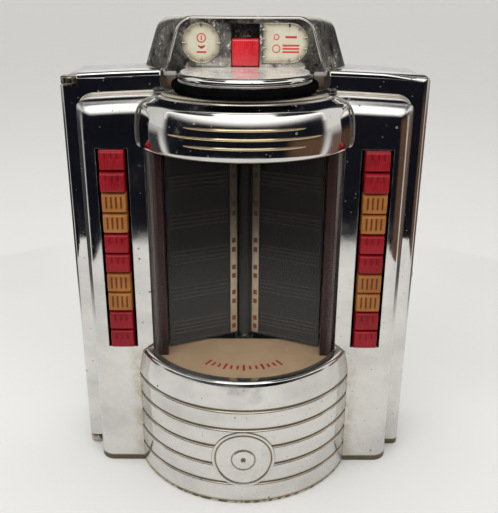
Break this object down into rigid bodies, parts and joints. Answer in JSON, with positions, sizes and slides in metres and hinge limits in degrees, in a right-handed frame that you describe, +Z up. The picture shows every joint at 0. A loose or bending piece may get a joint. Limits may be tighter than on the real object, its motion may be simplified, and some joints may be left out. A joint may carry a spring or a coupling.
{
  "type": "jukebox wall selector box",
  "caption": "Chromed coin-operated diner wall box for a jukebox: hinged door with a round window and button banks, turning title pages, coin head on top, flat back box.",
  "frame": {"origin": "middle of the bounding box on the surface that the box stands on", "axes": "+Z up, the front with the window faces -Y, +X to the right as seen from the front"},
  "size_m": [0.27, 0.1418, 0.3556],
  "materials": {
    "chrome": "worn, pitted chrome plate on a zinc casting",
    "box_paint": "silver-grey satin paint on sheet steel",
    "plain_steel": "plain zinc-plated steel",
    "hinge_metal": "tarnished nickel over brass",
    "grommet_rubber": "black rubber",
    "black_plastic": "black moulded plastic",
    "dial_cream": "cream enamel, browned at the edge",
    "socket_cream": "cream moulded plastic",
    "window_pane": "smoky curved pane",
    "lamp_glass": "white coated tube",
    "trim_brass": "dull brass",
    "floor_tan": "tan paint",
    "post_maroon": "dark maroon paint",
    "page_grey": "dark grey framed title page",
    "phenolic": "brown phenolic board",
    "relay_metal": "varnished coils on a plate",
    "tab_red": "bright red",
    "button_red": "dark red",
    "button_amber": "amber tan"
  },
  "bodies": {
    "chassis": {"back_plate": "box_paint", "back_box": "box_paint", "back_screws": "plain_steel", "cable_grommet": "grommet_rubber", "upper_hinge": "hinge_metal", "lower_hinge": "hinge_metal", "lock_strike": "plain_steel", "crown_casting": "chrome", "left_dial": "dial_cream", "right_dial": "dial_cream", "dial_bezels": "chrome", "coin_ledge": "chrome", "wheel_keeper": "black_plastic", "coin_chute": "trim_brass", "slug_rejector": "plain_steel", "cash_box": "plain_steel", "spindle_bearings": "plain_steel", "left_page": "page_grey", "relay_unit": "relay_metal", "terminal_strip": "black_plastic", "return_spring": "plain_steel"},
    "door": {"door_casting": "chrome", "header_cap": "chrome", "header_trim": "trim_brass", "window_glass": "window_pane", "lower_drum": "chrome", "drum_medallion": "chrome", "window_floor": "floor_tan", "window_posts": "post_maroon", "left_bank": "black_plastic", "right_bank": "black_plastic", "switch_stacks": "phenolic", "lamp_tube": "lamp_glass", "lamp_sockets": "socket_cream", "lock_body": "plain_steel"},
    "lock_barrel": {"lock_barrel": "plain_steel"},
    "coin_return": {"coin_return": "tab_red"},
    "page_wheel": {"page_wheel": "black_plastic"},
    "page_turner": {"page_spindle": "plain_steel", "right_page": "page_grey"},
    "left_button_1": {"left_button_1": "button_red"},
    "left_button_2": {"left_button_2": "button_red"},
    "left_button_3": {"left_button_3": "button_amber"},
    "left_button_4": {"left_button_4": "button_amber"},
    "left_button_5": {"left_button_5": "button_red"},
    "left_button_6": {"left_button_6": "button_red"},
    "left_button_7": {"left_button_7": "button_amber"},
    "left_button_8": {"left_button_8": "button_amber"},
    "left_button_9": {"left_button_9": "button_red"},
    "left_button_10": {"left_button_10": "button_red"},
    "right_button_1": {"right_button_1": "button_red"},
    "right_button_2": {"right_button_2": "button_red"},
    "right_button_3": {"right_button_3": "button_amber"},
    "right_button_4": {"right_button_4": "button_amber"},
    "right_button_5": {"right_button_5": "button_red"},
    "right_button_6": {"right_button_6": "button_red"},
    "right_button_7": {"right_button_7": "button_amber"},
    "right_button_8": {"right_button_8": "button_amber"},
    "right_button_9": {"right_button_9": "button_red"},
    "right_button_10": {"right_button_10": "button_red"}
  },
  "joints": [
    {"name": "door_swing", "type": "hinge", "parent": "chassis", "child": "door", "pos_m": [-0.1284, 0.0145, 0.16], "axis": [0, 0, -1], "range_deg": [0, 100]},
    {"name": "lock_turn", "type": "hinge", "parent": "door", "child": "lock_barrel", "pos_m": [0.125, 0.0156, 0.16], "axis": [-1, 0, 0], "range_deg": [0, 90]},
    {"name": "coin_return_press", "type": "slide", "parent": "chassis", "child": "coin_return", "axis": [0, 0, -1], "range_m": [0, 0.006], "stiffness_N_per_m": 300, "springref_m": -0.005, "deforming": ["return_spring"]},
    {"name": "page_turn", "type": "hinge", "parent": "chassis", "child": "page_turner", "pos_m": [0, 0.0299, 0.19], "axis": [0, 0, -1], "range_deg": [0, 128]},
    {"name": "page_wheel_turn", "type": "hinge", "parent": "chassis", "child": "page_wheel", "pos_m": [0, -0.0025, 0.311], "axis": [0, 0, -1], "range_deg": [0, 41]},
    {"name": "left_button_1_press", "type": "slide", "parent": "door", "child": "left_button_1", "axis": [0, 1, 0], "range_m": [0, 0.004], "stiffness_N_per_m": 200, "springref_m": -0.004},
    {"name": "left_button_2_press", "type": "slide", "parent": "door", "child": "left_button_2", "axis": [0, 1, 0], "range_m": [0, 0.004], "stiffness_N_per_m": 200, "springref_m": -0.004},
    {"name": "left_button_3_press", "type": "slide", "parent": "door", "child": "left_button_3", "axis": [0, 1, 0], "range_m": [0, 0.004], "stiffness_N_per_m": 200, "springref_m": -0.004},
    {"name": "left_button_4_press", "type": "slide", "parent": "door", "child": "left_button_4", "axis": [0, 1, 0], "range_m": [0, 0.004], "stiffness_N_per_m": 200, "springref_m": -0.004},
    {"name": "left_button_5_press", "type": "slide", "parent": "door", "child": "left_button_5", "axis": [0, 1, 0], "range_m": [0, 0.004], "stiffness_N_per_m": 200, "springref_m": -0.004},
    {"name": "left_button_6_press", "type": "slide", "parent": "door", "child": "left_button_6", "axis": [0, 1, 0], "range_m": [0, 0.004], "stiffness_N_per_m": 200, "springref_m": -0.004},
    {"name": "left_button_7_press", "type": "slide", "parent": "door", "child": "left_button_7", "axis": [0, 1, 0], "range_m": [0, 0.004], "stiffness_N_per_m": 200, "springref_m": -0.004},
    {"name": "left_button_8_press", "type": "slide", "parent": "door", "child": "left_button_8", "axis": [0, 1, 0], "range_m": [0, 0.004], "stiffness_N_per_m": 200, "springref_m": -0.004},
    {"name": "left_button_9_press", "type": "slide", "parent": "door", "child": "left_button_9", "axis": [0, 1, 0], "range_m": [0, 0.004], "stiffness_N_per_m": 200, "springref_m": -0.004},
    {"name": "left_button_10_press", "type": "slide", "parent": "door", "child": "left_button_10", "axis": [0, 1, 0], "range_m": [0, 0.004], "stiffness_N_per_m": 200, "springref_m": -0.004},
    {"name": "right_button_1_press", "type": "slide", "parent": "door", "child": "right_button_1", "axis": [0, 1, 0], "range_m": [0, 0.004], "stiffness_N_per_m": 200, "springref_m": -0.004},
    {"name": "right_button_2_press", "type": "slide", "parent": "door", "child": "right_button_2", "axis": [0, 1, 0], "range_m": [0, 0.004], "stiffness_N_per_m": 200, "springref_m": -0.004},
    {"name": "right_button_3_press", "type": "slide", "parent": "door", "child": "right_button_3", "axis": [0, 1, 0], "range_m": [0, 0.004], "stiffness_N_per_m": 200, "springref_m": -0.004},
    {"name": "right_button_4_press", "type": "slide", "parent": "door", "child": "right_button_4", "axis": [0, 1, 0], "range_m": [0, 0.004], "stiffness_N_per_m": 200, "springref_m": -0.004},
    {"name": "right_button_5_press", "type": "slide", "parent": "door", "child": "right_button_5", "axis": [0, 1, 0], "range_m": [0, 0.004], "stiffness_N_per_m": 200, "springref_m": -0.004},
    {"name": "right_button_6_press", "type": "slide", "parent": "door", "child": "right_button_6", "axis": [0, 1, 0], "range_m": [0, 0.004], "stiffness_N_per_m": 200, "springref_m": -0.004},
    {"name": "right_button_7_press", "type": "slide", "parent": "door", "child": "right_button_7", "axis": [0, 1, 0], "range_m": [0, 0.004], "stiffness_N_per_m": 200, "springref_m": -0.004},
    {"name": "right_button_8_press", "type": "slide", "parent": "door", "child": "right_button_8", "axis": [0, 1, 0], "range_m": [0, 0.004], "stiffness_N_per_m": 200, "springref_m": -0.004},
    {"name": "right_button_9_press", "type": "slide", "parent": "door", "child": "right_button_9", "axis": [0, 1, 0], "range_m": [0, 0.004], "stiffness_N_per_m": 200, "springref_m": -0.004},
    {"name": "right_button_10_press", "type": "slide", "parent": "door", "child": "right_button_10", "axis": [0, 1, 0], "range_m": [0, 0.004], "stiffness_N_per_m": 200, "springref_m": -0.004}
  ],
  "couplings": [
    {"joint": "page_wheel_turn", "follows": "page_turn", "ratio": 0.3158}
  ]
}
